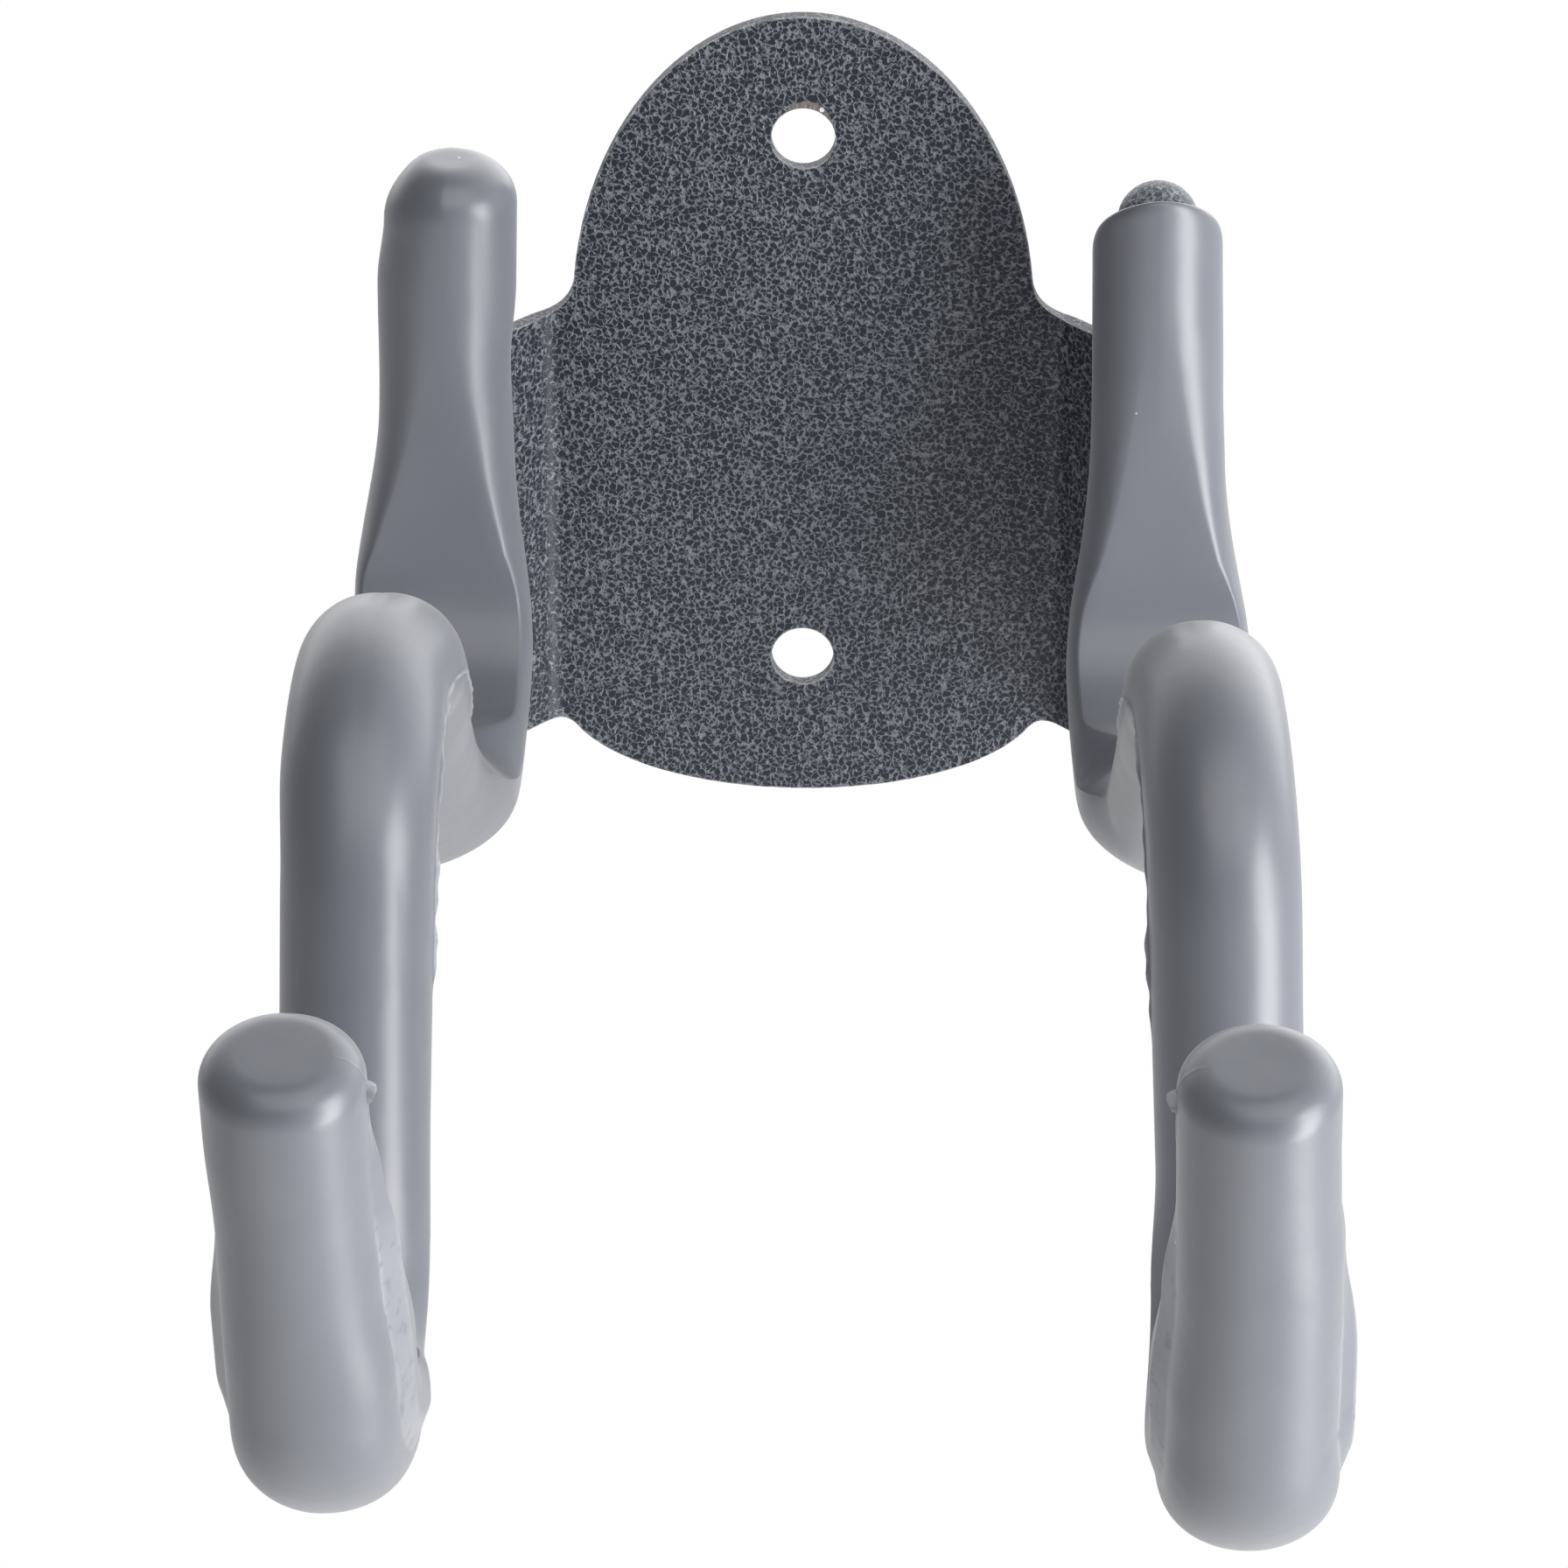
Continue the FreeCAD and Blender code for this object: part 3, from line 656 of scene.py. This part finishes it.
def vinyl():
    """Soft satin plastic with pale specks, pale lines (painted highlights and light along the lips,
    the parting line and flash), a fine grain and small waves.
    """
    material, tree, shader = new_material("vinyl")
    nodes, link = tree.nodes, tree.links.new
    place = nodes.new("ShaderNodeTexCoord").outputs["Object"]
    cloud = noise_of(tree, place, scale=60, detail=5)
    colour = blend(tree, cloud, PLASTIC_DARK, PLASTIC_PALE)
    specks = nodes.new("ShaderNodeTexVoronoi")
    socket(specks, "Scale", 240)
    link(place, specks.inputs["Vector"])
    speck = math_node(tree, "LESS_THAN", specks.outputs["Distance"], SPECK_SIZE)
    some = math_node(tree, "GREATER_THAN", noise_of(tree, place, scale=110, detail=1), SPECK_LEVEL)
    colour = blend(tree, math_node(tree, "MULTIPLY", speck, some), colour, SPECK)
    # The pale_line attribute carries painted highlights and painted light along the lips, as well
    # as the parting line and flash
    line = nodes.new("ShaderNodeAttribute")
    line.attribute_name = "pale_line"
    broken = fade(tree, noise_of(tree, place, scale=500, detail=2), low=0.3, high=0.5)
    shown = math_node(tree, "MULTIPLY", line.outputs["Fac"], broken)
    colour = blend(tree, math_node(tree, "MULTIPLY", shown, LINE_STRENGTH), colour, PALE_LINE)
    link(colour, shader.inputs["Base Color"])
    waves = noise_of(tree, place, scale=130, detail=2)
    wave = bump_of(tree, waves, strength=0.25, distance=0.6 * MM)
    grains = noise_of(tree, place, scale=2500, detail=2)
    grain = bump_of(tree, grains, strength=0.06, distance=0.1 * MM)
    link(wave.outputs["Normal"], grain.inputs["Normal"])
    link(grain.outputs["Normal"], shader.inputs["Normal"])
    rough = nodes.new("ShaderNodeMapRange")
    socket(rough, "To Min", 0.3)
    socket(rough, "To Max", 0.42)
    link(cloud, rough.inputs["Value"])
    link(rough.outputs["Result"], shader.inputs["Roughness"])
    socket(shader, "Specular IOR Level", 0.75)
    socket(shader, "Sheen Weight", 0.3)
    socket(shader, "Sheen Roughness", 0.45)
    return material


def add_camera():
    data = bpy.data.cameras.new("photo_camera")
    data.sensor_width = SENSOR_WIDTH
    data.lens = SENSOR_WIDTH * FOCAL_PIXELS / IMAGE_SIZE
    data.clip_start = 0.01
    data.clip_end = 20
    camera = bpy.data.objects.new("photo_camera", data)
    camera.location = CAMERA_PLACE
    camera.rotation_euler = (math.radians(90 - CAMERA_PITCH), 0, math.radians(CAMERA_YAW))
    bpy.context.scene.collection.objects.link(camera)
    bpy.context.scene.camera = camera


def add_softbox(name, place, size, power):
    data = bpy.data.lights.new(name, "AREA")
    data.shape = "RECTANGLE"
    data.size, data.size_y = size
    data.energy = power
    lamp = bpy.data.objects.new(name, data)
    lamp.location = place
    aim = Vector(LIGHT_AIM) - Vector(place)
    lamp.rotation_euler = aim.to_track_quat("-Z", "Y").to_euler()
    bpy.context.scene.collection.objects.link(lamp)


def add_world():
    """White to the camera, and for its light a room that is bright on the right and behind."""
    world = bpy.data.worlds.new("studio")
    bpy.context.scene.world = world
    world.use_nodes = True
    tree = world.node_tree
    nodes, link = tree.nodes, tree.links.new
    background = nodes["Background"]
    socket(background, "Color", WHITE)
    place = nodes.new("ShaderNodeTexCoord")
    axes = nodes.new("ShaderNodeSeparateXYZ")
    link(place.outputs["Generated"], axes.inputs["Vector"])
    side = nodes.new("ShaderNodeMapRange")
    side.interpolation_type = "SMOOTHSTEP"
    for name, value in (("From Min", -0.3), ("From Max", 1.0),
                        ("To Min", ROOM_DIM), ("To Max", ROOM_BRIGHT)):
        socket(side, name, value)
    link(axes.outputs["X"], side.inputs["Value"])
    behind = fade(tree, axes.outputs["Y"], low=-0.1, high=0.8)
    kept = math_node(tree, "MULTIPLY_ADD", behind, 1 - NEAR_SHARE, NEAR_SHARE)
    dimmed = math_node(tree, "MULTIPLY", side.outputs["Result"], kept)
    lit = math_node(tree, "MAXIMUM", dimmed, ROOM_DIM)
    back = fade(tree, axes.outputs["Y"], low=0.35, high=0.95)
    rays = nodes.new("ShaderNodeLightPath")
    seen = nodes.new("ShaderNodeMix")
    link(rays.outputs["Is Camera Ray"], seen.inputs["Factor"])
    link(math_node(tree, "MULTIPLY_ADD", back, BACK_BRIGHT, lit), seen.inputs["A"])
    socket(seen, "B", 1.0)
    link(seen.outputs["Result"], background.inputs["Strength"])


def add_floor():
    """A pale floor that the camera sees as white as the background."""
    mesh = bpy.data.meshes.new("floor")
    corners = ((-1, -1), (1, -1), (1, 1), (-1, 1))
    mesh.from_pydata([(x * FLOOR_HALF_SIZE, y * FLOOR_HALF_SIZE, FLOOR_LEVEL) for x, y in corners],
                     [], [(0, 1, 2, 3)])
    floor = bpy.data.objects.new("floor", mesh)
    bpy.context.scene.collection.objects.link(floor)
    material, tree, shader = new_material("floor")
    nodes, link = tree.nodes, tree.links.new
    socket(shader, "Base Color", FLOOR_COLOUR)
    socket(shader, "Roughness", 0.9)
    glow = nodes.new("ShaderNodeEmission")
    rays = nodes.new("ShaderNodeLightPath")
    mix = nodes.new("ShaderNodeMixShader")
    link(rays.outputs["Is Camera Ray"], mix.inputs["Fac"])
    link(shader.outputs["BSDF"], mix.inputs[1])
    link(glow.outputs["Emission"], mix.inputs[2])
    link(mix.outputs["Shader"], nodes["Material Output"].inputs["Surface"])
    mesh.materials.append(material)


add_camera()
add_world()
add_floor()
add_softbox("right_softbox", place=(0.70, -0.50, -0.15), size=(0.42, 1.2), power=13)
add_softbox("top_softbox", place=(0.1, -0.7, 0.9), size=(1.3, 1.0), power=6)
add_softbox("low_card", place=(-0.15, -0.42, -0.30), size=(0.6, 0.4), power=0.2)

paint = hammertone("hammertone", PAINT_DARK, PAINT_PALE)
# The right rod gets the paler copy of the paint, a painted highlight for the light on its dome
lit_paint = hammertone("lit_hammertone", LIT_PAINT_DARK, LIT_PAINT_PALE)
plastic = vinyl()
for node in ("wall_bracket", "left_rod", "right_rod", "left_weld_bead", "right_weld_bead"):
    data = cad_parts[node].data
    data.materials.clear()
    data.materials.append(lit_paint if node == "right_rod" else paint)
for label, arm in (("left", LEFT), ("right", RIGHT)):
    sleeve = make_sleeve(label + "_grip", arm)
    sleeve.data.materials.append(plastic)
    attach(sleeve, "root")
    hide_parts(label + "_sleeve")

bpy.context.scene.view_settings.view_transform = "Standard"
